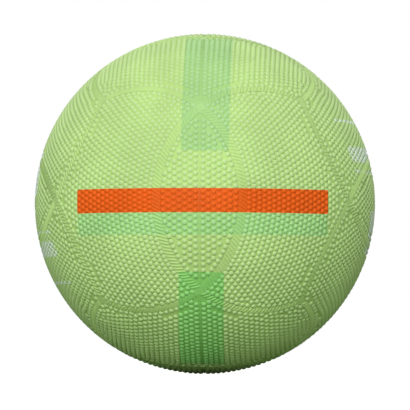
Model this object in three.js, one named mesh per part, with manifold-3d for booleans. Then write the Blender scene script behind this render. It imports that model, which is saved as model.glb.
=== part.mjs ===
// A rubber dodgeball with a pebbled cover of eighteen panels and smooth seams between them.
// Millimetres, +Z up. The origin is the ball's centre, and the front panel faces -Y.

import * as THREE from 'three';
import { mergeVertices } from 'three/addons/utils/BufferGeometryUtils.js';
import Module from 'manifold-3d';

const wasm = await Module();
wasm.setup();

// The wall, from the outside in

const ballDiameter = 210;
const panelThickness = 1.2;
const seamDepth = 0.5;
const carcassThickness = 0.7;
const windingThickness = 0.4;
const bladderThickness = 0.7;
const layerGap = 0.3;

// The smooth seams, between the edges of the pebbled panels

const lensSeamWidth = 5.2;
const sideSeamWidth = 3.6;

// The valve, whose axis runs through the centre of the left panel

const valveFaceDiameter = 9;
const valveStemDiameter = 8;
const valveLength = 14;
const valveFlangeDiameter = 26;
const valveFlangeThickness = 2.2;
const valveBoreDiameter = 4.4;
const plugSeatDiameter = 6.6;
const plugSeatDepth = 1.5;
const plugHeadThickness = 0.9;
const plugTailLength = 2.2;
const plugTailTipDiameter = 2.4;
const needleMouthDiameter = 1.6;
const needleMouthDepth = 3;

// How finely the round shapes are divided

const stepsPerSeam = 5;
const layerDetail = 5;
const valveSides = 24;

// Radii that follow from the sizes above

const ballRadius = ballDiameter / 2;
const seamRadius = ballRadius - seamDepth;
const panelInnerRadius = ballRadius - panelThickness;
const carcassFloorRadius = panelInnerRadius - layerGap;
const carcassInnerRadius = carcassFloorRadius - carcassThickness;
const windingOuterRadius = carcassInnerRadius - layerGap;
const windingInnerRadius = windingOuterRadius - windingThickness;
const bladderOuterRadius = windingInnerRadius - layerGap;
const bladderInnerRadius = bladderOuterRadius - bladderThickness;
const flangeOuterRadius = bladderInnerRadius - layerGap;

// The seams are arcs of twelve equal circles. Each circle passes two hubs, where four seams meet,
// and ends at two corners, where three meet. The hubs are the vertices of an icosahedron and the
// corners are those of a cube, which settles how far a circle's axis leans from its panel's pole
// and how wide the circle is.

const golden = (1 + Math.sqrt(5)) / 2;
const hubReach = golden / Math.hypot(1, golden);
const cornerReach = Math.sqrt(1 / 3);
const seamLean = Math.atan((hubReach - cornerReach) / cornerReach);
const seamSpread = Math.acos(hubReach * Math.cos(seamLean));

function direction(...terms) {
  const sum = new THREE.Vector3();
  for (const [axis, amount] of terms) {
    sum.addScaledVector(axis, amount);
  }
  return sum.normalize();
}

function seamAxis(pole, side) {
  return direction([pole, Math.cos(seamLean)], [side, Math.sin(seamLean)]);
}

function hub(pole, tip) {
  return direction([pole, golden], [tip, 1]);
}

// A panel's edges are listed anticlockwise, seen from outside. Each one leaves a hub or a corner and
// follows a seam circle, which it keeps within (-1) or beyond (1), and sectors says how many
// triangular fields reach from the edge to the panel's centre.

function lensEdges(pole, side) {
  const tip = new THREE.Vector3().crossVectors(side, pole);
  const back = tip.clone().negate();
  const awaySide = side.clone().negate();
  const width = lensSeamWidth;
  return [
    { from: hub(pole, tip), axis: seamAxis(pole, awaySide), keep: -1, width, sectors: 2 },
    { from: hub(pole, back), axis: seamAxis(pole, side), keep: -1, width, sectors: 2 },
  ];
}

function pentagonEdges(pole, side) {
  const tip = new THREE.Vector3().crossVectors(side, pole);
  const back = tip.clone().negate();
  const awaySide = side.clone().negate();
  const near = direction([pole, 1], [side, 1], [tip, 1]);
  const far = direction([pole, 1], [side, 1], [back, 1]);
  const width = sideSeamWidth;
  return [
    { from: hub(pole, tip), axis: seamAxis(pole, side), keep: -1, width, sectors: 1 },
    { from: near, axis: seamAxis(side, tip), keep: 1, width, sectors: 1 },
    { from: hub(side, pole), axis: seamAxis(side, back), keep: 1, width, sectors: 1 },
    { from: far, axis: seamAxis(pole, side), keep: -1, width, sectors: 1 },
    { from: hub(pole, back), axis: seamAxis(pole, awaySide), keep: 1, width: lensSeamWidth, sectors: 2 },
  ];
}

// Where two seam circles meet, nearest to a given direction

function meeting(first, second, nearest) {
  const lean = first.axis.dot(second.axis);
  const square = 1 - lean * lean;
  const alongFirst = (first.cosine - second.cosine * lean) / square;
  const alongSecond = (second.cosine - first.cosine * lean) / square;
  const foot = new THREE.Vector3();
  foot.addScaledVector(first.axis, alongFirst).addScaledVector(second.axis, alongSecond);
  const across = new THREE.Vector3().crossVectors(first.axis, second.axis).normalize();
  const rise = Math.sqrt(1 - foot.lengthSq()) * Math.sign(across.dot(nearest) || 1);
  return foot.addScaledVector(across, rise);
}

// The outline of a panel, drawn in from its seams by half their width and a gap

function outline(edges, gap) {
  const circles = edges.map((edge) => {
    const inset = (edge.width / 2 + gap) / ballRadius;
    return { axis: edge.axis, cosine: Math.cos(seamSpread + edge.keep * inset) };
  });
  const starts = edges.map((edge, i) => meeting(circles.at(i - 1), circles[i], edge.from));
  return edges.map((edge, i) => {
    const start = starts[i];
    const end = starts[(i + 1) % starts.length];
    const forward = start.clone().addScaledVector(edge.axis, -circles[i].cosine);
    const left = new THREE.Vector3().crossVectors(edge.axis, forward);
    const turn = Math.atan2(end.dot(left), end.dot(forward));
    const pointAt = (share) => start.clone().applyAxisAngle(edge.axis, turn * share);
    return { ...edge, start, pointAt, steps: edge.sectors * stepsPerSeam };
  });
}

function panelCentre(edges) {
  return direction(...edges.map((edge) => [edge.from, 1]));
}

// Triangles that cover the inside of an outline, on a sphere

function fieldTriangles(sides, centre) {
  const triangles = [];
  for (const side of sides) {
    for (let sector = 0; sector < side.sectors; sector += 1) {
      const point = (row, place) => {
        if (row === 0) {
          return centre.clone();
        }
        const rim = side.pointAt((sector + place / row) / side.sectors);
        return direction([centre, 1 - row / stepsPerSeam], [rim, row / stepsPerSeam]);
      };
      for (let row = 0; row < stepsPerSeam; row += 1) {
        for (let place = 0; place <= row; place += 1) {
          triangles.push([point(row, place), point(row + 1, place), point(row + 1, place + 1)]);
          if (place < row) {
            triangles.push([point(row, place), point(row + 1, place + 1), point(row, place + 1)]);
          }
        }
      }
    }
  }
  return triangles;
}

function rimPoints(side) {
  return Array.from({ length: side.steps + 1 }, (_, i) => side.pointAt(i / side.steps));
}

// A list of corners, three to a triangle

class Skin {
  corners = [];

  add(triangle, radius) {
    for (const corner of triangle) {
      this.corners.push(corner.clone().multiplyScalar(radius));
    }
  }

  addTurned(triangle, radius) {
    this.add([...triangle].reverse(), radius);
  }

  // A wall under a rim, which faces away from what lies to the left of the rim
  addWall(rim, top, bottom) {
    for (let i = 0; i + 1 < rim.length; i += 1) {
      const [a, b] = [rim[i], rim[i + 1]];
      const [topA, topB] = [a.clone().multiplyScalar(top), b.clone().multiplyScalar(top)];
      const [lowA, lowB] = [a.clone().multiplyScalar(bottom), b.clone().multiplyScalar(bottom)];
      this.corners.push(lowA, lowB, topB, lowA, topB, topA);
    }
  }

  geometry() {
    return mergeVertices(new THREE.BufferGeometry().setFromPoints(this.corners));
  }
}

function solid(geometry) {
  const bare = geometry.clone().deleteAttribute('normal').deleteAttribute('uv');
  const merged = mergeVertices(bare);
  const vertProperties = new Float32Array(merged.attributes.position.array);
  const triVerts = new Uint32Array(merged.index.array);
  return new wasm.Manifold(new wasm.Mesh({ numProp: 3, vertProperties, triVerts }));
}

function geometryOf(manifold) {
  const mesh = manifold.getMesh();
  const geometry = new THREE.BufferGeometry();
  geometry.setAttribute('position', new THREE.BufferAttribute(new Float32Array(mesh.vertProperties), 3));
  geometry.setIndex(new THREE.BufferAttribute(new Uint32Array(mesh.triVerts), 1));
  return geometry;
}

// Shapes that lie along the valve's axis, which runs out through -X

function turnedToValve(geometry) {
  return geometry.rotateZ(Math.PI / 2);
}

function valveCylinder(diameter, innerEnd, outerEnd) {
  const radius = diameter / 2;
  const cylinder = new THREE.CylinderGeometry(radius, radius, outerEnd - innerEnd, valveSides);
  return solid(turnedToValve(cylinder.translate(0, (innerEnd + outerEnd) / 2, 0)));
}

const valveInnerEnd = ballRadius - valveLength;
const valveHole = valveCylinder(valveFaceDiameter + 2 * layerGap, valveInnerEnd, ballRadius + 1);

// The cover's panels

function panelGeometry(edges) {
  const sides = outline(edges, layerGap);
  const skin = new Skin();
  for (const triangle of fieldTriangles(sides, panelCentre(edges))) {
    skin.add(triangle, ballRadius);
    skin.addTurned(triangle, panelInnerRadius);
  }
  for (const side of sides) {
    skin.addWall(rimPoints(side), ballRadius, panelInnerRadius);
  }
  return skin.geometry();
}

// The carcass: a shell with a shallow pocket under each panel, and the seams standing between them

function carcassGeometry(panels) {
  const skin = new Skin();
  const seams = new Map();
  const meetings = new Map();
  const nameOf = (vector) => vector.toArray().map((part) => Math.round(part * 1000)).join();
  for (const edges of panels) {
    const sides = outline(edges, 0);
    for (const triangle of fieldTriangles(sides, panelCentre(edges))) {
      skin.add(triangle, carcassFloorRadius);
    }
    sides.forEach((side, i) => {
      const next = sides[(i + 1) % sides.length];
      const rim = rimPoints(side);
      skin.addWall(rim, carcassFloorRadius, seamRadius);
      const ends = [nameOf(side.from), nameOf(next.from)].sort();
      const seamName = [nameOf(side.axis), ...ends].join();
      seams.set(seamName, [...(seams.get(seamName) ?? []), rim]);
      const meetingName = nameOf(side.from);
      const around = meetings.get(meetingName) ?? { middle: side.from, points: [] };
      around.points.push(side.start);
      meetings.set(meetingName, around);
    });
  }
  for (const [near, far] of seams.values()) {
    const across = [...far].reverse();
    for (let i = 0; i + 1 < near.length; i += 1) {
      skin.add([near[i], across[i], across[i + 1]], seamRadius);
      skin.add([near[i], across[i + 1], near[i + 1]], seamRadius);
    }
  }
  for (const { middle, points } of meetings.values()) {
    const east = points[0].clone().projectOnPlane(middle);
    const north = new THREE.Vector3().crossVectors(middle, east);
    const heading = (point) => Math.atan2(point.dot(north), point.dot(east));
    const ring = [...points].sort((a, b) => heading(a) - heading(b));
    for (let i = 1; i + 1 < ring.length; i += 1) {
      skin.add([ring[0], ring[i], ring[i + 1]], seamRadius);
    }
  }
  const inside = solid(new THREE.IcosahedronGeometry(carcassInnerRadius, layerDetail));
  return geometryOf(solid(skin.geometry()).subtract(inside).subtract(valveHole));
}

// The round layers inside it

function layerGeometry(outerRadius, innerRadius) {
  const outside = solid(new THREE.IcosahedronGeometry(outerRadius, layerDetail));
  const inside = solid(new THREE.IcosahedronGeometry(innerRadius, layerDetail));
  return geometryOf(outside.subtract(inside).subtract(valveHole));
}

// The valve: a flanged housing fixed inside the bladder, and the plug that seals round the needle

function valveHousingGeometry() {
  const flangeInnerEnd = flangeOuterRadius - valveFlangeThickness;
  const head = valveCylinder(valveFaceDiameter, flangeInnerEnd, ballRadius);
  const stem = valveCylinder(valveStemDiameter, valveInnerEnd, flangeInnerEnd + valveFlangeThickness / 2);
  const disc = valveCylinder(valveFlangeDiameter, flangeInnerEnd, ballRadius);
  const flange = disc.intersect(solid(new THREE.IcosahedronGeometry(flangeOuterRadius, layerDetail)));
  const bore = valveCylinder(valveBoreDiameter, valveInnerEnd - 1, ballRadius + 1);
  const seat = valveCylinder(plugSeatDiameter, ballRadius - plugSeatDepth, ballRadius + 1);
  return geometryOf(head.add(stem).add(flange).subtract(bore).subtract(seat));
}

function valvePlugGeometry() {
  const shaftRadius = valveBoreDiameter / 2 - layerGap;
  const headRadius = plugSeatDiameter / 2 - layerGap;
  const headBottom = ballRadius - plugSeatDepth + layerGap;
  const headTop = headBottom + plugHeadThickness;
  const tailTop = valveInnerEnd - layerGap;
  const tailTip = tailTop - plugTailLength;
  const profile = [
    [0, tailTip],
    [plugTailTipDiameter / 2, tailTip],
    [headRadius, tailTop - plugTailLength / 2],
    [headRadius, tailTop],
    [shaftRadius, tailTop],
    [shaftRadius, headBottom],
    [headRadius, headBottom],
    [headRadius, headTop],
    [needleMouthDiameter / 2, headTop],
    [0, headTop - needleMouthDepth],
  ];
  const points = profile.map(([radius, height]) => new THREE.Vector2(radius, height));
  return turnedToValve(new THREE.LatheGeometry(points, valveSides));
}

// Materials

const finish = (color, roughness) => () => new THREE.MeshStandardMaterial({ color, roughness, metalness: 0 });
const coverRubber = finish(0xb9d795, 0.5);
const carcassRubber = finish(0xa9cc84, 0.55);
const nylonThread = finish(0xe4e0d2, 0.8);
const bladderRubber = finish(0x25262a, 0.6);
const valveRubber = finish(0x303133, 0.5);
const plugRubber = finish(0x4a4b4d, 0.45);

// The assembly

const ball = new THREE.Group();

function addPiece(name, geometry, material) {
  geometry.computeVertexNormals();
  const mesh = new THREE.Mesh(geometry, material());
  mesh.name = name;
  ball.add(mesh);
}

const right = new THREE.Vector3(1, 0, 0);
const left = new THREE.Vector3(-1, 0, 0);
const front = new THREE.Vector3(0, -1, 0);
const rear = new THREE.Vector3(0, 1, 0);
const top = new THREE.Vector3(0, 0, 1);
const bottom = new THREE.Vector3(0, 0, -1);

// Each lens panel lies round a pole, and a pentagon panel lies on each of its long sides

const panelPlaces = [
  { poles: { front, rear }, sides: { left, right } },
  { poles: { top, bottom }, sides: { front, rear } },
  { poles: { left, right }, sides: { top, bottom } },
];

const allPanels = new Map();
for (const { poles, sides } of panelPlaces) {
  for (const [poleName, pole] of Object.entries(poles)) {
    allPanels.set(`lens_panel_${poleName}`, lensEdges(pole, Object.values(sides)[0]));
    for (const [sideName, side] of Object.entries(sides)) {
      allPanels.set(`pentagon_panel_${poleName}_${sideName}`, pentagonEdges(pole, side));
    }
  }
}

for (const [name, edges] of allPanels) {
  const whole = panelGeometry(edges);
  const holdsValve = name === 'lens_panel_left';
  addPiece(name, holdsValve ? geometryOf(solid(whole).subtract(valveHole)) : whole, coverRubber);
}
addPiece('carcass', carcassGeometry(allPanels.values()), carcassRubber);
addPiece('thread_winding', layerGeometry(windingOuterRadius, windingInnerRadius), nylonThread);
addPiece('bladder', layerGeometry(bladderOuterRadius, bladderInnerRadius), bladderRubber);
addPiece('valve_housing', valveHousingGeometry(), valveRubber);
addPiece('valve_plug', valvePlugGeometry(), plugRubber);

export default ball;
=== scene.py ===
from math import acos, atan, atan2, ceil, cos, hypot, pi, radians, sin, sqrt

import bmesh
import bpy
from mathutils import Matrix, Quaternion, Vector
from mathutils.kdtree import KDTree


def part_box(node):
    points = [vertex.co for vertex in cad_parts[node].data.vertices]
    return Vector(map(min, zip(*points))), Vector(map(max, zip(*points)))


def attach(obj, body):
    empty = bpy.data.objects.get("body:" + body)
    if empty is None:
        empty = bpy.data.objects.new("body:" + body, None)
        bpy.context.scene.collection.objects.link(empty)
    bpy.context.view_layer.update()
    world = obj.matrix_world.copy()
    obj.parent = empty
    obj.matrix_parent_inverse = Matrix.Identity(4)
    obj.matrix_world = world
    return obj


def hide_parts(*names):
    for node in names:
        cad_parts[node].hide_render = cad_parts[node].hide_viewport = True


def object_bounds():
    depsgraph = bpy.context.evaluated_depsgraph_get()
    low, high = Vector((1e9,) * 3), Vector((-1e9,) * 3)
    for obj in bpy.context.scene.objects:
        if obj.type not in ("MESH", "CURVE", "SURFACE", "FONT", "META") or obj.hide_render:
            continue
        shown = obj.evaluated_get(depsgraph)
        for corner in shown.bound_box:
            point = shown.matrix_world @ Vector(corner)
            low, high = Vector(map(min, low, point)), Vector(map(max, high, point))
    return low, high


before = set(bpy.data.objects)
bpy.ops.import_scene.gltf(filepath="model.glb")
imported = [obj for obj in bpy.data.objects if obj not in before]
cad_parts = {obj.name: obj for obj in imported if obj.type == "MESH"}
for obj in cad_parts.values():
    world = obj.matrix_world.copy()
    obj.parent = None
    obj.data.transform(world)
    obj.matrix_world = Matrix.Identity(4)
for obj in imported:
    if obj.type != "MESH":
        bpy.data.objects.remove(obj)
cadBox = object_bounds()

# A rubber dodgeball. Metres; the ball's centre is the origin and its front faces -Y.

mm = 0.001
weld = 1e-6     # points closer than this are one
front, rear = Vector((0, -1, 0)), Vector((0, 1, 0))
left, right = Vector((-1, 0, 0)), Vector((1, 0, 0))
bottom, top = Vector((0, 0, -1)), Vector((0, 0, 1))

ballRadius = -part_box("lens_panel_front")[0].y
floorHeight = cadBox[0].z

wall = {
    "valleyRadius": ballRadius - 0.5 * mm,       # the level of the seams
    "pebbleGround": ballRadius - 0.86 * mm,      # the ground between pebbles, slightly below the seams
    "panelInner": ballRadius - 1.2 * mm,
    "pocketFloor": ballRadius - 1.5 * mm,        # where a panel lies in the carcass
    "carcassInner": ballRadius - 2.2 * mm,
}


# The view

view = {
    "toCamera": Vector((0.0332, -0.9989, -0.0345)),
    "distance": 2.73,
    "lens": 388,                 # mm
    "sensorWidth": 36,           # mm
    "clip": (0.1, 100),
    "roll": radians(0.17),
    "imageSize": 410,            # px
    "ballCentre": (204.95, 203.9),
}


def makeCamera():
    data = bpy.data.cameras.new("camera")
    data.lens, data.sensor_width = view["lens"], view["sensorWidth"]
    data.clip_start, data.clip_end = view["clip"]
    camera = bpy.data.objects.new("camera", data)
    bpy.context.scene.collection.objects.link(camera)
    turn = (-view["toCamera"]).to_track_quat("-Z", "Y") @ Quaternion((0, 0, 1), view["roll"])
    pixel = view["distance"] * data.sensor_width / data.lens / view["imageSize"]
    middle = view["imageSize"] / 2
    offset = Vector((middle - view["ballCentre"][0], view["ballCentre"][1] - middle, 0)) * pixel
    camera.location = view["toCamera"].normalized() * view["distance"] + turn @ offset
    camera.rotation_mode = "QUATERNION"
    camera.rotation_quaternion = turn
    bpy.context.scene.camera = camera


makeCamera()
bpy.context.scene.view_settings.view_transform = "Standard"


# The nodes of a material

def addNode(tree, kind, inputs=None, **settings):
    node = tree.nodes.new(kind)
    for name, value in settings.items():
        setattr(node, name, value)
    for name, value in (inputs or {}).items():
        if isinstance(value, bpy.types.NodeSocket):
            tree.links.new(value, node.inputs[name])
        else:
            node.inputs[name].default_value = value
    return node


def calc(tree, operation, first, second=0.0):
    return addNode(tree, "ShaderNodeMath", {0: first, 1: second}, operation=operation).outputs[0]


def vectorCalc(tree, operation, first, second=(0, 0, 0)):
    node = addNode(tree, "ShaderNodeVectorMath", {0: first, 1: second}, operation=operation)
    return node.outputs["Value" if operation == "LENGTH" else "Vector"]


def fade(tree, value, start, end, low=0.0, high=1.0):
    # low up to start, high from end on, with a soft step between
    return addNode(tree, "ShaderNodeMapRange",
                   {"Value": value, "From Min": start, "From Max": end, "To Min": low, "To Max": high},
                   interpolation_type="SMOOTHSTEP").outputs[0]


def blendColours(tree, factor, first, second, mode="MIX"):
    node = addNode(tree, "ShaderNodeMix", data_type="RGBA", blend_type=mode)
    for name, value in (("Factor_Float", factor), ("A_Color", first), ("B_Color", second)):
        socket = next(s for s in node.inputs if s.identifier == name)
        if isinstance(value, bpy.types.NodeSocket):
            tree.links.new(value, socket)
        else:
            socket.default_value = value if isinstance(value, float) else (*value, 1)
    return next(s for s in node.outputs if s.identifier == "Result_Color")


def noise(tree, place, size, detail=3.0, roughness=0.5):
    # size is the distance between the clouds, in metres
    inputs = {"Vector": place, "Scale": 1 / size, "Detail": detail, "Roughness": roughness}
    return addNode(tree, "ShaderNodeTexNoise", inputs).outputs["Fac"]


def newMaterial(name, **sockets):
    material = bpy.data.materials.new(name)
    material.use_nodes = True
    tree = material.node_tree
    shader = tree.nodes["Principled BSDF"]
    for socket, value in sockets.items():
        shader.inputs[socket.replace("_", " ")].default_value = value
    place = addNode(tree, "ShaderNodeTexCoord").outputs["Object"]
    return material, tree, shader, place


def grain(tree, shader, place, size, depth):
    # a fine unevenness of the moulded surface
    height = noise(tree, place, size, 4.0, 0.6)
    bump = addNode(tree, "ShaderNodeBump", {"Height": height, "Distance": depth, "Strength": 1.0})
    tree.links.new(bump.outputs[0], shader.inputs["Normal"])


# The finish of the cover

rubber = {
    "colour": (0.505, 0.68, 0.308),
    "deeper": (0.48, 0.66, 0.282),
    "footPaintedShade": (0.88, 0.94, 0.72),     # painted shade on the ground between pebbles, darker and greener against their crowns
    "crownFrom": (wall["pebbleGround"] + 0.02 * mm, wall["pebbleGround"] + 0.40 * mm),
    "seamTone": 0.3,                    # the seams between the two take part of the ground's painted shade: 0 is the ground's shaded tone and 1 the crowns'
    "spotSize": 5 * mm,
    "seamSpotSize": 3 * mm,
    "cloudSize": 28 * mm,
    "cloudShare": 0.10,
    "cloudEdges": (0.3, 0.7),
    "grainSize": 0.35 * mm,
    "grainDepth": 0.012 * mm,
    "dullSize": 1.6 * mm,
    "dullEdges": (0.35, 0.65),
    "roughness": (0.50, 0.62),
    "inkGloss": 0.06,                   # how much less rough the ink is
    "sheen": 0.15,
}

# Printed stripes: a pale green bar, the orange stripe on its upper half, a green bar above and one below.
# Each has the side that it faces as a turn from the front, then its middle and size, across and up.
frontPrints = [
    {"turn": 0, "centre": (1.0 * mm, -7.9 * mm), "size": (150 * mm, 27.6 * mm), "corner": 1 * mm,
     "tilt": 0, "ink": (0.385, 0.655, 0.295), "cover": 0.95},
    {"turn": 0, "centre": (1.0 * mm, -1.3 * mm), "size": (151 * mm, 14.4 * mm), "corner": 1.2 * mm,
     "tilt": 0, "ink": (0.79, 0.112, 0.006), "cover": 0.99},
    {"turn": 0, "centre": (3.4 * mm, 64.2 * mm), "size": (28.6 * mm, 71.7 * mm), "corner": 1 * mm,
     "tilt": radians(0.6), "ink": (0.38, 0.60, 0.28), "cover": 0.95},
    {"turn": 0, "centre": (0.4 * mm, -71.2 * mm), "size": (26.8 * mm, 54.6 * mm), "corner": 1 * mm,
     "tilt": radians(1.5), "ink": (0.285, 0.63, 0.21), "cover": 0.95},
]
# Silver bars and rules on the left and right sides, each side upside down to the other: height and size
sideBars = [
    {"height": 49.5 * mm, "size": (92 * mm, 1.6 * mm)},
    {"height": 29.0 * mm, "size": (92 * mm, 9.5 * mm)},
    {"height": 18.6 * mm, "size": (92 * mm, 1.6 * mm)},
    {"height": -18.0 * mm, "size": (42 * mm, 26 * mm)},
]
silver = {"ink": (0.66, 0.76, 0.69), "cover": 0.88, "corner": 0.5 * mm}
printEdge = {
    "softness": 0.12 * mm,
    "wander": 0.25 * mm,
    "wanderSize": 1.4 * mm,
    "fadeDepth": 5 * mm,        # a print fades out over this depth before the ball's middle
}


def listPrints():
    stripes = list(frontPrints)
    for turn, up in ((radians(90), 1), (radians(-90), -1)):
        for bar in sideBars:
            stripes.append({"turn": turn, "centre": (0, up * bar["height"]), "size": bar["size"], "tilt": 0,
                            **silver})
    return stripes


def printMask(tree, place, stripe, wander):
    # 1 inside the stripe and 0 outside, with rounded corners, on the half of the ball that it faces
    width, height = stripe["size"]
    corner = stripe["corner"]
    facing = addNode(tree, "ShaderNodeMapping",
                     {"Vector": place, "Rotation": (0, 0, -stripe["turn"])}).outputs[0]
    moved = addNode(tree, "ShaderNodeMapping",
                    {"Vector": facing, "Location": (stripe["centre"][0], 0, stripe["centre"][1]),
                     "Rotation": (0, stripe["tilt"], 0)}, vector_type="TEXTURE").outputs[0]
    beyond = vectorCalc(tree, "SUBTRACT", vectorCalc(tree, "ABSOLUTE", moved),
                        (width / 2 - corner, 1.0, height / 2 - corner))
    distance = vectorCalc(tree, "LENGTH", vectorCalc(tree, "MAXIMUM", beyond, (0, 0, 0)))
    uneven = calc(tree, "ADD", distance, wander)
    inside = fade(tree, uneven, corner - printEdge["softness"], corner + printEdge["softness"], 1.0, 0.0)
    depth = addNode(tree, "ShaderNodeSeparateXYZ", {0: moved}).outputs["Y"]
    return calc(tree, "MULTIPLY", inside, fade(tree, depth, -printEdge["fadeDepth"], 0.0, 1.0, 0.0))


def coverFinish(name, spotSize, pebbled):
    material, tree, shader, place = newMaterial(name, IOR=1.5, Specular_IOR_Level=rubber["sheen"])
    cloud = noise(tree, place, rubber["cloudSize"])
    colour = blendColours(tree, noise(tree, place, spotSize), rubber["colour"], rubber["deeper"])
    uneven = noise(tree, place, printEdge["wanderSize"], 2.0)
    wander = calc(tree, "MULTIPLY", calc(tree, "SUBTRACT", uneven, 0.5), printEdge["wander"])
    # 0 at a pebble's foot and 1 on its crown
    # on the seams, a fixed share of the ground's painted shade
    rise = rubber["seamTone"]
    if pebbled:
        rise = fade(tree, vectorCalc(tree, "LENGTH", place), *rubber["crownFrom"])
    inked = 0.0
    for stripe in listPrints():
        mask = calc(tree, "MULTIPLY", printMask(tree, place, stripe, wander), stripe["cover"])
        if stripe["turn"]:
            # on the sides only the crowns took the ink
            mask = calc(tree, "MULTIPLY", mask, rise)
        colour = blendColours(tree, mask, colour, stripe["ink"])
        inked = calc(tree, "MAXIMUM", inked, mask)
    # painted shade: the ground between pebbles is darkened and greened, while the crowns keep their colour
    foot = blendColours(tree, 1.0, colour, rubber["footPaintedShade"], "MULTIPLY")
    colour = blendColours(tree, rise, foot, colour)
    half = rubber["cloudShare"] / 2
    shade = fade(tree, cloud, *rubber["cloudEdges"], 1 - half, 1 + half)
    tone = addNode(tree, "ShaderNodeCombineColor", {"Red": shade, "Green": shade, "Blue": shade}).outputs[0]
    colour = blendColours(tree, 1.0, colour, tone, "MULTIPLY")
    tree.links.new(colour, shader.inputs["Base Color"])
    dull = noise(tree, place, rubber["dullSize"], 2.0)
    dull = fade(tree, dull, *rubber["dullEdges"], *rubber["roughness"])
    inkGloss = calc(tree, "MULTIPLY", inked, -rubber["inkGloss"])
    tree.links.new(calc(tree, "ADD", dull, inkGloss), shader.inputs["Roughness"])
    grain(tree, shader, place, rubber["grainSize"], rubber["grainDepth"])
    return material


coverRubber = coverFinish("cover_rubber", rubber["spotSize"], True)
seamRubber = coverFinish("seam_rubber", rubber["seamSpotSize"], False)
print("finishes of the cover made")


# The pattern of the seams: twelve small circles, of which each panel's edges are stretches.
# Two seams cross at each hub, a lens panel's tip, and the hubs lie as an icosahedron's corners do.
# Three seams end at each corner, and the corners lie as a cube's do.

golden = (1 + sqrt(5)) / 2
hubReach = golden / hypot(1, golden)
cornerReach = sqrt(1 / 3)
seamLean = atan((hubReach - cornerReach) / cornerReach)
seamSpread = acos(hubReach * cos(seamLean))

seams = {
    "lensWidth": 5.2 * mm,
    "sideWidth": 3.6 * mm,
    "hairline": 0.02 * mm,      # between a panel and the seam beside it
}
pentagonMiddle = {"towardsPole": 0.86, "towardsSide": 0.51}

poleSides = [((front, rear), (left, right)), ((top, bottom), (front, rear)), ((left, right), (top, bottom))]
placeNames = {tuple(front): "front", tuple(rear): "rear", tuple(left): "left", tuple(right): "right",
              tuple(bottom): "bottom", tuple(top): "top"}


def seamAxis(pole, side):
    return (pole * cos(seamLean) + side * sin(seamLean)).normalized()


def edge(axis, keep, width, angle=seamSpread):
    # keep is -1 for a panel that lies within the circle and 1 for one that lies beyond it
    return {"axis": axis, "keep": keep, "width": width, "angle": angle}


def lensEdges(pole, side):
    width = seams["lensWidth"]
    return [edge(seamAxis(pole, -side), -1, width), edge(seamAxis(pole, side), -1, width)]


def pentagonEdges(pole, side):
    tip, width = side.cross(pole), seams["sideWidth"]
    return [edge(seamAxis(pole, side), -1, width), edge(seamAxis(side, tip), 1, width),
            edge(seamAxis(side, -tip), 1, width), edge(seamAxis(pole, -side), 1, seams["lensWidth"])]


def edgeDistance(place, border):
    # how far inside the border's centreline a direction lies, along the valley's sphere
    angle = acos(max(-1.0, min(1.0, place.dot(border["axis"]))))
    return border["keep"] * (angle - border["angle"]) * wall["valleyRadius"]


def listPanels():
    panels = []
    for poles, sides in poleSides:
        for pole in poles:
            panels.append({"name": "lens_panel_" + placeNames[tuple(pole)], "middle": pole,
                           "edges": lensEdges(pole, sides[0])})
    for poles, sides in poleSides:
        for pole in poles:
            for side in sides:
                name = "pentagon_panel_" + placeNames[tuple(pole)] + "_" + placeNames[tuple(side)]
                middle = pole * pentagonMiddle["towardsPole"] + side * pentagonMiddle["towardsSide"]
                panels.append({"name": name, "middle": middle.normalized(),
                               "edges": pentagonEdges(pole, side), "pole": pole, "side": side})
    return panels


panels = listPanels()


# Meshes

def bareSphere(radius, around=144, rings=72):
    # its poles lie on X, so that the valve's hole is a ring of the mesh
    bm = bmesh.new()
    bmesh.ops.create_uvsphere(bm, u_segments=around, v_segments=rings, radius=radius,
                              matrix=Matrix.Rotation(pi / 2, 4, "Y"))
    return bm


def cutBySphereCircle(bm, axis, angle, radius, clearOutside=False, clearInside=False):
    # a plane through a small circle; outside is the side that the axis points to
    bmesh.ops.bisect_plane(bm, geom=bm.verts[:] + bm.edges[:] + bm.faces[:], dist=1e-7,
                           plane_co=axis * radius * cos(angle), plane_no=axis,
                           clear_outer=clearOutside, clear_inner=clearInside)


def seatOnSphere(vertices, radius):
    for vertex in vertices:
        vertex.co = vertex.co.normalized() * radius


def stamp(bm, shape, seat):
    # adds a copy of a shape at its seat
    shape.transform(seat)
    bm.from_mesh(shape)
    shape.transform(seat.inverted())


def finishPiece(name, bm, material, sharpAngle=radians(45)):
    mesh = bpy.data.meshes.new(name)
    bmesh.ops.recalc_face_normals(bm, faces=bm.faces)
    for face in bm.faces:
        face.smooth = True
    bm.to_mesh(mesh)
    bm.free()
    mesh.set_sharp_from_angle(angle=sharpAngle)
    mesh.materials.append(material)
    piece = bpy.data.objects.new(name, mesh)
    bpy.context.scene.collection.objects.link(piece)
    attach(piece, "root")
    return piece


# The pebbles of the cover

pebble = {
    "sides": 8,
    # radius and height above the ground in mm, from the crown down
    "profile": [(0, 0.92), (0.60, 0.84), (1.06, 0.66), (1.40, 0.38), (1.62, 0.0), (1.65, -0.06)],
    "columnStep": radians(1.76),
    "pitch": radians(1.95),
    "fromEdge": 1.46 * mm,          # a pebble's middle from the edge of its panel
    "fromParting": radians(1.25),   # the first column from the parting line
    "evenShare": 0.5,               # 1 keeps a row's count along each column, 0 keeps the pitch
    "halfReach": radians(44),       # how far the columns of a halved panel go from its middle
    "sideReach": radians(75),
    "sideColumns": 48,
    "sideAxis": (-0.5, -0.86),      # the side columns' axis: across, times the panel's x, and forward
    "settleRounds": (12, 8),        # before and after the wider gaps get a pebble
    # as shares of the pitch, before they settle
    "closest": 0.76,
    "widestGap": 0.80,
    "beyondEdge": 0.45,             # a pebble further beyond the edge line is left out
    "nearEdge": 0.5,                # and one nearer to it than this is laid on it
    "pastCorner": 0.02,             # unless it then lies this far beyond another line
    "neighbourhood": 1.32,          # pebbles within this push or draw each other
    "push": 0.32,                   # how much of the error goes in one round
    "draw": 0.12,
}


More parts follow.
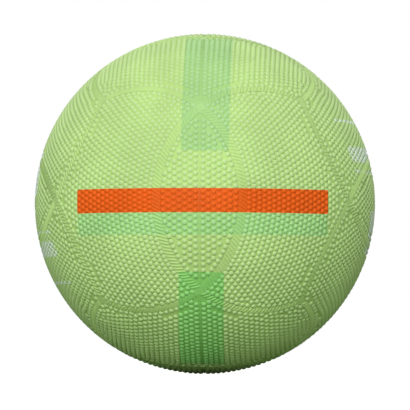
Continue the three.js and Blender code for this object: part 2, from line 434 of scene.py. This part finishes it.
def pebbleMesh():
    bm = bmesh.new()
    points = [bm.verts.new((radius * mm, 0, height * mm)) for radius, height in pebble["profile"]]
    edges = [bm.edges.new(pair) for pair in zip(points, points[1:])]
    bmesh.ops.spin(bm, geom=points + edges, cent=(0, 0, 0), axis=(0, 0, 1), angle=2 * pi,
                   steps=pebble["sides"], use_merge=True)
    bmesh.ops.remove_doubles(bm, verts=bm.verts, dist=weld)
    bmesh.ops.holes_fill(bm, edges=[e for e in bm.edges if e.is_boundary], sides=pebble["sides"])
    bmesh.ops.recalc_face_normals(bm, faces=bm.faces)
    mesh = bpy.data.meshes.new("pebble_shape")
    bm.to_mesh(mesh)
    bm.free()
    return mesh


def columnsAround(axis, start, distances, reach):
    # directions in columns at fixed distances from an axis, every other column half a step on
    across = axis.cross(start)
    middleSin = sin(distances[len(distances) // 2])
    for count, distance in enumerate(distances):
        share = pebble["evenShare"]
        turn = pebble["pitch"] / (share * middleSin + (1 - share) * sin(distance))
        rows = ceil(reach / turn)
        for row in range(-rows, rows + 1):
            angle = (row + (count % 2) / 2) * turn
            yield axis * cos(distance) + (start * cos(angle) + across * sin(angle)) * sin(distance)


def nearestLine(place, lines):
    # how far inside the nearest edge line a pebble lies, and which line that is
    return min((edgeDistance(place, line) - line["inset"], number) for number, line in enumerate(lines))


def laidOn(place, line):
    angle = line["angle"] + line["keep"] * line["inset"] / wall["valleyRadius"]
    outward = (place - line["axis"] * place.dot(line["axis"])).normalized()
    return line["axis"] * cos(angle) + outward * sin(angle)


def pickPebbles(places, lines, pitch):
    # the pebbles that stay, those on an edge line first, each with the number of its line
    onEdge, inside = [], []
    for place in places:
        gap, number = nearestLine(place, lines)
        if gap >= pebble["nearEdge"] * pitch:
            inside.append((place, None))
        elif gap >= -pebble["beyondEdge"] * pitch:
            place = laidOn(place, lines[number])
            if nearestLine(place, lines)[0] >= -pebble["pastCorner"] * pitch:
                onEdge.append((place, number))
    return onEdge + inside


def pushApart(spots, onLine, lines, pitch):
    # one round: each pebble moves towards the pitch from its neighbours, along its line if it has one
    step = pitch / wall["valleyRadius"]
    around = pebble["neighbourhood"] * pitch / wall["valleyRadius"]
    tree = KDTree(len(spots))
    for number, place in enumerate(spots):
        tree.insert(place, number)
    tree.balance()
    moved = []
    for number, place in enumerate(spots):
        push = Vector()
        for other, index, distance in tree.find_range(place, around):
            if index != number:
                short = step - distance
                push += (place - other).normalized() * short * pebble["push" if short > 0 else "draw"]
        place = (place + push).normalized()
        if onLine[number] is not None:
            place = laidOn(place, lines[onLine[number]])
        else:
            gap, nearest = nearestLine(place, lines)
            if gap < 0:
                place = laidOn(place, lines[nearest])
        moved.append(place)
    return moved


def settle(places, borders):
    # lays the outermost pebbles along the panel's edges and spaces the others out behind them
    pitch = (pebble["pitch"] + pebble["columnStep"] / cos(radians(30))) / 2 * wall["valleyRadius"]
    lines = [{**border, "inset": border["width"] / 2 + pebble["fromEdge"]} for border in borders]
    picked = pickPebbles(places, lines, pitch)
    spots, onLine = [], []
    for closest, rounds in zip((pebble["closest"], pebble["widestGap"]), pebble["settleRounds"]):
        for place, number in picked:
            if all((place - other).length * wall["valleyRadius"] > closest * pitch for other in spots):
                spots.append(place)
                onLine.append(number)
        for _ in range(rounds):
            spots = pushApart(spots, onLine, lines, pitch)
    return spots


def mirrored(places, x=1, y=1):
    return [Vector((place.x * x, place.y * y, place.z)) for place in places]


def partingColumns(reach):
    # columns beside the parting line, on its right side
    count = ceil((reach - pebble["fromParting"]) / pebble["columnStep"])
    return [pi / 2 - pebble["fromParting"] - column * pebble["columnStep"] for column in range(count)]


def halvedPlaces(middle, edges):
    # on a panel that the parting line halves, the halves mirror each other
    reach = pebble["halfReach"]
    partingWidth = 2 * (pebble["fromParting"] * wall["valleyRadius"] - pebble["fromEdge"])
    parting = edge(right, -1, partingWidth, pi / 2)
    start = (middle - right * middle.x).normalized()
    half = settle(columnsAround(right, start, partingColumns(reach), reach), edges + [parting])
    return half + mirrored(half, x=-1)


def pebblePlaces(panel):
    middle, edges = panel["middle"], panel["edges"]
    if abs(middle.x) < weld:
        return halvedPlaces(middle, edges)
    besideLens = "pole" in panel and panel["pole"] in (front, rear)
    if besideLens:
        # beside the front and rear lens panels the columns follow the lens panel's edge
        axis, start = seamAxis(panel["pole"], -panel["side"]), panel["side"]
        first = seamSpread + (seams["lensWidth"] / 2 + pebble["fromEdge"]) / wall["valleyRadius"]
    else:
        across, forward = pebble["sideAxis"]
        axis = Vector((across * middle.x, forward, 0)).normalized()
        start = right if middle.x > 0 else left
        first = pi / 2 - pebble["sideColumns"] // 2 * pebble["columnStep"]
    start = (start - axis * start.dot(axis)).normalized()
    distances = [first + column * pebble["columnStep"] for column in range(pebble["sideColumns"])]
    places = list(columnsAround(axis, start, distances, pebble["sideReach"]))
    if not besideLens:
        # on the left and right sides the rear half mirrors the front half
        places = [place for place in places if place.y < 0]
        places += mirrored(places, y=-1)
    return settle(places, edges)


# The panels of the cover

valveHole = {
    "radius": 4.6 * mm,
    "pad": 9 * mm,          # no pebbles this near the valve's axis
}


def cutValveHole(bm, radius):
    cutBySphereCircle(bm, left, valveHole["radius"] / radius, radius, clearOutside=True)


def panelSkin(panel):
    ground = wall["pebbleGround"]
    bm = bareSphere(ground)
    for border in panel["edges"]:
        inset = border["width"] / 2 + seams["hairline"]
        angle = border["angle"] + border["keep"] * inset / wall["valleyRadius"]
        cutBySphereCircle(bm, border["axis"], angle, ground,
                          clearOutside=border["keep"] > 0, clearInside=border["keep"] < 0)
    loose = [v for v in bm.verts if v.co.dot(panel["middle"]) < 0]
    bmesh.ops.delete(bm, geom=loose, context="VERTS")
    if panel["name"] == "lens_panel_left":
        cutValveHole(bm, ground)
    seatOnSphere(bm.verts, ground)
    bmesh.ops.solidify(bm, geom=bm.faces[:], thickness=ground - wall["panelInner"])
    middleRadius = (ground + wall["panelInner"]) / 2
    seatOnSphere([v for v in bm.verts if v.co.length > middleRadius], ground)
    seatOnSphere([v for v in bm.verts if v.co.length <= middleRadius], wall["panelInner"])
    bmesh.ops.recalc_face_normals(bm, faces=bm.faces)
    return bm


def makePanels():
    shape = pebbleMesh()
    total = 0
    for panel in panels:
        bm = panelSkin(panel)
        places = pebblePlaces(panel)
        if panel["name"] == "lens_panel_left":
            places = [place for place in places if hypot(place.y, place.z) * ballRadius > valveHole["pad"]]
        for place in places:
            turn = top.rotation_difference(place).to_matrix().to_4x4()
            stamp(bm, shape, Matrix.Translation(place * wall["pebbleGround"]) @ turn)
        total += len(places)
        piece = finishPiece(panel["name"] + "_cover", bm, coverRubber)
        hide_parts(panel["name"])
    print("panels made, with", total, "pebbles")


makePanels()


# The carcass: seams at the level of the valleys, slanting ribs across them, and a pocket under each panel

seamRib = {
    "pitch": radians(1.22),     # along the seam
    "slant": radians(31),       # from square across the seam
    "width": 1.15 * mm,
    "height": 0.46 * mm,
    # shares of half the width and of the height
    "section": [(-1, -0.2), (-0.6, 0.65), (0, 1.0), (0.6, 0.65), (1, -0.2)],
    "steps": 4,
    "endFrom": 0.98,            # the share of half its length past which it ends
    "endHeight": 0.3,           # the share of its height that is left there
    "endSink": 0.02 * mm,
    "fromHub": 3.0 * mm,        # where seams cross, the ribs stop this far from the crossing
    "fromCorner": 3.6 * mm,
}


def ribMesh(seamWidth):
    # one rib, lying along X on top of the valley's sphere
    ground, half, height = wall["valleyRadius"], seamRib["width"] / 2, seamRib["height"]
    reach = seamWidth / cos(seamRib["slant"]) / ground
    section = seamRib["section"]
    bm = bmesh.new()
    points = [bm.verts.new((0, across * half, ground + up * height)) for across, up in section]
    bmesh.ops.rotate(bm, verts=points, matrix=Matrix.Rotation(-reach / 2, 3, "Y"))
    edges = [bm.edges.new(pair) for pair in zip(points, points[1:] + points[:1])]
    bmesh.ops.spin(bm, geom=points + edges, cent=(0, 0, 0), axis=(0, 1, 0), angle=reach,
                   steps=seamRib["steps"])
    ends = [v for v in bm.verts if abs(v.co.x) > ground * sin(reach / 2) * seamRib["endFrom"]]
    for vertex in ends:
        level = hypot(vertex.co.x, vertex.co.z)
        vertex.co *= (ground - seamRib["endSink"] + seamRib["endHeight"] * (level - ground)) / level
    bmesh.ops.holes_fill(bm, edges=[e for e in bm.edges if e.is_boundary], sides=len(section))
    bmesh.ops.recalc_face_normals(bm, faces=bm.faces)
    mesh = bpy.data.meshes.new("rib_shape")
    bm.to_mesh(mesh)
    bm.free()
    return mesh


def seamStretches():
    # each circle's three stretches: its axis, the seam's width, where turns start, the first and last turn
    ground = wall["valleyRadius"]
    hubGap = seamRib["fromHub"] / ground / sin(seamSpread)
    cornerGap = seamRib["fromCorner"] / ground / sin(seamSpread)
    for poles, sides in poleSides:
        for pole in poles:
            for side in sides:
                # the circle whose middle stretch edges this pole's lens panel on this side
                axis = seamAxis(pole, -side)
                start = (side - axis * side.dot(axis)).normalized()
                across = axis.cross(start)
                hub = (pole * golden + across).normalized()
                corner = (pole - side + across).normalized()
                hubTurn, cornerTurn = (atan2(spot.dot(across), spot.dot(start)) for spot in (hub, corner))
                yield axis, seams["lensWidth"], start, -hubTurn + hubGap, hubTurn - hubGap
                yield axis, seams["sideWidth"], start, hubTurn + hubGap, cornerTurn - cornerGap
                yield axis, seams["sideWidth"], start, cornerGap - cornerTurn, -hubTurn - hubGap


def ribTurns(first, last):
    # evenly spaced turns round the axis, centred on the stretch
    step = seamRib["pitch"] / sin(seamSpread)
    count = int((last - first) / step)
    for number in range(count + 1):
        yield (first + last) / 2 + (number - count / 2) * step


def addRibs(bm):
    ribs = {width: ribMesh(width) for width in (seams["lensWidth"], seams["sideWidth"])}
    slant = seamRib["slant"]
    total = 0
    for axis, width, start, first, last in seamStretches():
        across = axis.cross(start)
        for turn in ribTurns(first, last):
            outward = start * cos(turn) + across * sin(turn)
            place = axis * cos(seamSpread) + outward * sin(seamSpread)
            along = axis.cross(place).normalized()
            length = along.cross(place) * cos(slant) - along * sin(slant)
            stamp(bm, ribs[width], Matrix((length, place.cross(length), place)).transposed().to_4x4())
            total += 1
    print("seam ribs laid:", total)


def underPanel(place):
    return any(place.dot(panel["middle"]) > 0.5
               and all(edgeDistance(place, border) > border["width"] / 2 for border in panel["edges"])
               for panel in panels)


def makeCarcass():
    bm = bareSphere(wall["valleyRadius"])
    borders = {}
    for panel in panels:
        for border in panel["edges"]:
            key = (tuple(round(part, 4) for part in border["axis"]), border["keep"], border["width"])
            borders[key] = border
    for border in borders.values():
        angle = border["angle"] + border["keep"] * border["width"] / 2 / wall["valleyRadius"]
        cutBySphereCircle(bm, border["axis"], angle, wall["valleyRadius"])
    cutValveHole(bm, wall["valleyRadius"])
    seatOnSphere(bm.verts, wall["valleyRadius"])
    pockets = [face for face in bm.faces if underPanel(face.calc_center_median().normalized())]
    sunk = bmesh.ops.extrude_face_region(bm, geom=pockets)["geom"]
    seatOnSphere([item for item in sunk if isinstance(item, bmesh.types.BMVert)], wall["pocketFloor"])
    bmesh.ops.delete(bm, geom=pockets, context="FACES")
    inner = bareSphere(wall["carcassInner"], 96, 48)
    cutValveHole(inner, wall["carcassInner"])
    bmesh.ops.reverse_faces(inner, faces=inner.faces[:])
    liner = bpy.data.meshes.new("carcass_liner")
    inner.to_mesh(liner)
    inner.free()
    bm.from_mesh(liner)
    bpy.data.meshes.remove(liner)
    # the two rims of the valve's hole
    rims = [e for e in bm.edges if e.is_boundary and e.verts[0].co.x < -0.9 * ballRadius]
    bmesh.ops.bridge_loops(bm, edges=rims)
    addRibs(bm)
    piece = finishPiece("carcass_seams", bm, seamRubber)
    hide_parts("carcass")
    print("carcass made")


makeCarcass()


# The bead that the mould's parting line leaves round the ball

partingBead = {
    "width": 0.5 * mm,
    "height": 0.06 * mm,
    "shoulder": (0.5, 0.8),     # shares of half the width and of the height
    "foot": 0.05 * mm,          # how deep it is sunk
    "steps": 240,
}


def makePartingBead():
    bm = bmesh.new()
    half, height = partingBead["width"] / 2, partingBead["height"]
    ground = wall["valleyRadius"]
    foot = ground - partingBead["foot"]
    wide, high = partingBead["shoulder"]
    section = [(-half, foot), (-half, ground), (-half * wide, ground + height * high), (0, ground + height),
               (half * wide, ground + height * high), (half, ground), (half, foot)]
    points = [bm.verts.new((across, 0, radius)) for across, radius in section]
    edges = [bm.edges.new(pair) for pair in zip(points, points[1:] + points[:1])]
    bmesh.ops.spin(bm, geom=points + edges, cent=(0, 0, 0), axis=(1, 0, 0), angle=2 * pi,
                   steps=partingBead["steps"], use_merge=True)
    finishPiece("parting_bead", bm, seamRubber)
    print("parting bead made")


makePartingBead()


# The valve, turned about X, with its face on the left

valve = {
    "sides": 64,
    "faceRadius": 4.5 * mm,
    "stemRadius": 4 * mm,
    "length": 14 * mm,
    "flangeRadius": 13 * mm,
    "flangeOuter": 100.8 * mm,      # from the ball's centre
    "flangeThickness": 2.2 * mm,
    "flangeMiddle": 0.67,           # a point on its curved face, as a share of its radius
    "boreRadius": 2.2 * mm,
    "seatRadius": 3.3 * mm,
    "seatDepth": 1.5 * mm,
    "round": 0.25 * mm,
}
plug = {
    "clearance": 0.1 * mm,
    "headThickness": 0.9 * mm,
    "headSink": 0.3 * mm,
    "tailLength": 2.2 * mm,
    "tailTipRadius": 1.2 * mm,
    "mouthRadius": 0.8 * mm,
    "mouthDepth": 3 * mm,
    "round": 0.15 * mm,
}
darkRubber = {
    "smudgeSize": 2.5 * mm,
    "smudgeEdges": (0.35, 0.7),
    "dullSize": 0.8 * mm,
    "dullEdges": (0.3, 0.7),
    "dullRange": 0.08,
    "grainSize": 0.3 * mm,
    "grainDepth": 0.02 * mm,
}
housingRubber = {"light": (0.045, 0.045, 0.048), "dark": (0.024, 0.024, 0.026), "roughness": 0.5}
plugRubber = {"light": (0.095, 0.095, 0.10), "dark": (0.06, 0.06, 0.065), "roughness": 0.55}
bladderRubber = {"light": (0.028, 0.028, 0.032), "dark": (0.016, 0.016, 0.019), "roughness": 0.6}


def darkFinish(name, shade):
    material, tree, shader, place = newMaterial(name, IOR=1.5)
    smudge = fade(tree, noise(tree, place, darkRubber["smudgeSize"], 4.0), *darkRubber["smudgeEdges"])
    tree.links.new(blendColours(tree, smudge, shade["dark"], shade["light"]), shader.inputs["Base Color"])
    dull = fade(tree, noise(tree, place, darkRubber["dullSize"]), *darkRubber["dullEdges"],
                shade["roughness"] - darkRubber["dullRange"], shade["roughness"] + darkRubber["dullRange"])
    tree.links.new(dull, shader.inputs["Roughness"])
    grain(tree, shader, place, darkRubber["grainSize"], darkRubber["grainDepth"])
    return material


def turned(name, section, material, bevelled):
    # section is a closed outline of (radius, distance from the ball's centre) round the valve's axis
    bm = bmesh.new()
    points = [bm.verts.new((-out, 0, radius)) for radius, out in section]
    edges = [bm.edges.new(pair) for pair in zip(points, points[1:] + points[:1])]
    bmesh.ops.spin(bm, geom=points + edges, cent=(0, 0, 0), axis=(1, 0, 0), angle=2 * pi,
                   steps=valve["sides"], use_merge=True)
    bmesh.ops.remove_doubles(bm, verts=bm.verts, dist=weld)
    rims = [e for e in bm.edges if e.is_manifold and e.calc_face_angle(0) > radians(50)
            and abs(e.verts[0].co.x - e.verts[1].co.x) < weld]
    bmesh.ops.bevel(bm, geom=rims, affect="EDGES", offset=bevelled, segments=3, profile=0.5, material=-1)
    return finishPiece(name, bm, material, radians(60))


def onFlange(radius):
    # a point of the flange's curved face, which lies against the bladder
    return radius, sqrt(valve["flangeOuter"] ** 2 - radius ** 2)


def makeHousing(face, innerEnd):
    flangeInner = valve["flangeOuter"] - valve["flangeThickness"]
    housing = [
        (valve["boreRadius"], innerEnd), (valve["stemRadius"], innerEnd), (valve["stemRadius"], flangeInner),
        (valve["flangeRadius"], flangeInner), onFlange(valve["flangeRadius"]),
        onFlange(valve["flangeRadius"] * valve["flangeMiddle"]), onFlange(valve["faceRadius"]),
        (valve["faceRadius"], face), (valve["seatRadius"], face),
        (valve["seatRadius"], face - valve["seatDepth"]), (valve["boreRadius"], face - valve["seatDepth"]),
    ]
    finish = darkFinish("valve_rubber", housingRubber)
    piece = turned("valve_housing_moulding", housing, finish, valve["round"])
    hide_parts("valve_housing")


def makePlug(face, innerEnd):
    shaft = valve["boreRadius"] - plug["clearance"]
    headTop = face - plug["headSink"]
    headBottom = headTop - plug["headThickness"]
    tail = innerEnd - plug["clearance"]
    mouthEnd = headTop - plug["mouthDepth"]
    stopper = [
        (0, mouthEnd), (plug["mouthRadius"], mouthEnd + plug["mouthRadius"]),
        (plug["mouthRadius"], headTop), (valve["seatRadius"] - plug["clearance"], headTop),
        (valve["seatRadius"] - plug["clearance"], headBottom), (shaft, headBottom), (shaft, tail),
        (plug["tailTipRadius"], tail - plug["tailLength"]), (0, tail - plug["tailLength"]),
    ]
    finish = darkFinish("plug_rubber", plugRubber)
    piece = turned("valve_plug_moulding", stopper, finish, plug["round"])
    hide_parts("valve_plug")


makeHousing(ballRadius, ballRadius - valve["length"])
makePlug(ballRadius, ballRadius - valve["length"])
print("valve made")


# The layers inside, which keep their solids

thread = {
    "lays": [(0, 0, 0), (1.1, 0.4, 0), (0.3, 1.3, 0.8)],    # how the windings are turned against each other
    "strand": (0.80, 0.77, 0.68),
    # the colour between the strands is painted shade
    "paintedHollowShade": (0.42, 0.38, 0.28),
    "density": 420.0,
    "waviness": 0.4,
    "depth": 0.15 * mm,
    "roughness": 0.6,
}


def threadFinish():
    material, tree, shader, place = newMaterial("nylon_thread", Roughness=thread["roughness"])
    strands = None
    for turn in thread["lays"]:
        laid = addNode(tree, "ShaderNodeMapping", {"Vector": place, "Rotation": turn}).outputs[0]
        wave = addNode(tree, "ShaderNodeTexWave",
                       {"Vector": laid, "Scale": thread["density"], "Distortion": thread["waviness"]},
                       wave_profile="SIN").outputs["Fac"]
        strands = wave if strands is None else calc(tree, "MAXIMUM", strands, wave)
    # painted shade: darker between the strands, where they shade each other
    colour = blendColours(tree, strands, thread["paintedHollowShade"], thread["strand"])
    tree.links.new(colour, shader.inputs["Base Color"])
    bump = addNode(tree, "ShaderNodeBump", {"Height": strands, "Distance": thread["depth"]})
    tree.links.new(bump.outputs[0], shader.inputs["Normal"])
    return material


def dressNode(name, material):
    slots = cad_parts[name].material_slots
    if slots:
        slots[0].material = material
    else:
        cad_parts[name].data.materials.append(material)


dressNode("thread_winding", threadFinish())
dressNode("bladder", darkFinish("bladder_rubber", bladderRubber))
print("inner layers dressed")


# The stage

stageSizes = {
    "floorWidth": 60.0,
    "floorPaint": (0.24, 0.32, 0.165),      # what the floor gives back of the light that falls on it
    "floorGlow": (0.88, 1.0),       # for the camera alone, near the ball and far from it
    "glowReach": (0.11, 0.19),      # where the one ends and the other starts
    "ambient": 0.46,
}
# Softboxes: turn from the front and rise in degrees, distance and width in metres, power in watts
softboxes = [
    {"name": "softbox_front", "turn": 2, "rise": 11, "distance": 2.2, "width": 0.5, "power": 15.5},
    {"name": "softbox_left", "turn": -32, "rise": 12, "distance": 2.2, "width": 0.5, "power": 7},
    {"name": "softbox_high", "turn": 0, "rise": 32, "distance": 2.2, "width": 0.5, "power": 14.5},
    {"name": "softbox_top", "turn": 0, "rise": 82, "distance": 2.2, "width": 0.8, "power": 5},
]


def makeFloor():
    bm = bmesh.new()
    bmesh.ops.create_grid(bm, x_segments=1, y_segments=1, size=stageSizes["floorWidth"] / 2,
                          matrix=Matrix.Translation((0, 0, floorHeight)))
    mesh = bpy.data.meshes.new("floor")
    bm.to_mesh(mesh)
    bm.free()
    floor = bpy.data.objects.new("floor", mesh)
    bpy.context.scene.collection.objects.link(floor)
    material = bpy.data.materials.new("floor")
    material.use_nodes = True
    tree = material.node_tree
    tree.nodes.remove(tree.nodes["Principled BSDF"])
    seen = addNode(tree, "ShaderNodeLightPath").outputs["Is Camera Ray"]
    away = vectorCalc(tree, "LENGTH", addNode(tree, "ShaderNodeTexCoord").outputs["Object"])
    level = fade(tree, away, *stageSizes["glowReach"], *stageSizes["floorGlow"])
    paint = addNode(tree, "ShaderNodeBsdfDiffuse", {"Color": stageSizes["floorPaint"] + (1,)})
    glow = addNode(tree, "ShaderNodeEmission", {"Strength": calc(tree, "MULTIPLY", seen, level)})
    both = addNode(tree, "ShaderNodeAddShader", {0: paint.outputs[0], 1: glow.outputs[0]})
    tree.links.new(both.outputs[0], tree.nodes["Material Output"].inputs["Surface"])
    mesh.materials.append(material)


def makeWorld():
    world = bpy.data.worlds.new("studio")
    bpy.context.scene.world = world
    world.use_nodes = True
    tree = world.node_tree
    seen = addNode(tree, "ShaderNodeLightPath").outputs["Is Camera Ray"]
    strength = addNode(tree, "ShaderNodeMapRange",
                       {"Value": seen, "To Min": stageSizes["ambient"], "To Max": 1.0})
    backdrop = tree.nodes["Background"]
    backdrop.inputs["Color"].default_value = (1, 1, 1, 1)
    tree.links.new(strength.outputs[0], backdrop.inputs["Strength"])


def makeSoftbox(box):
    data = bpy.data.lights.new(box["name"], "AREA")
    data.shape, data.size, data.energy = "SQUARE", box["width"], box["power"]
    lamp = bpy.data.objects.new(box["name"], data)
    bpy.context.scene.collection.objects.link(lamp)
    turn, rise = radians(box["turn"]), radians(box["rise"])
    place = Vector((sin(turn) * cos(rise), -cos(turn) * cos(rise), sin(rise))) * box["distance"]
    lamp.location = place
    lamp.rotation_euler = (-place).to_track_quat("-Z", "Y").to_euler()


makeFloor()
makeWorld()
for softbox in softboxes:
    makeSoftbox(softbox)
print("stage lit")
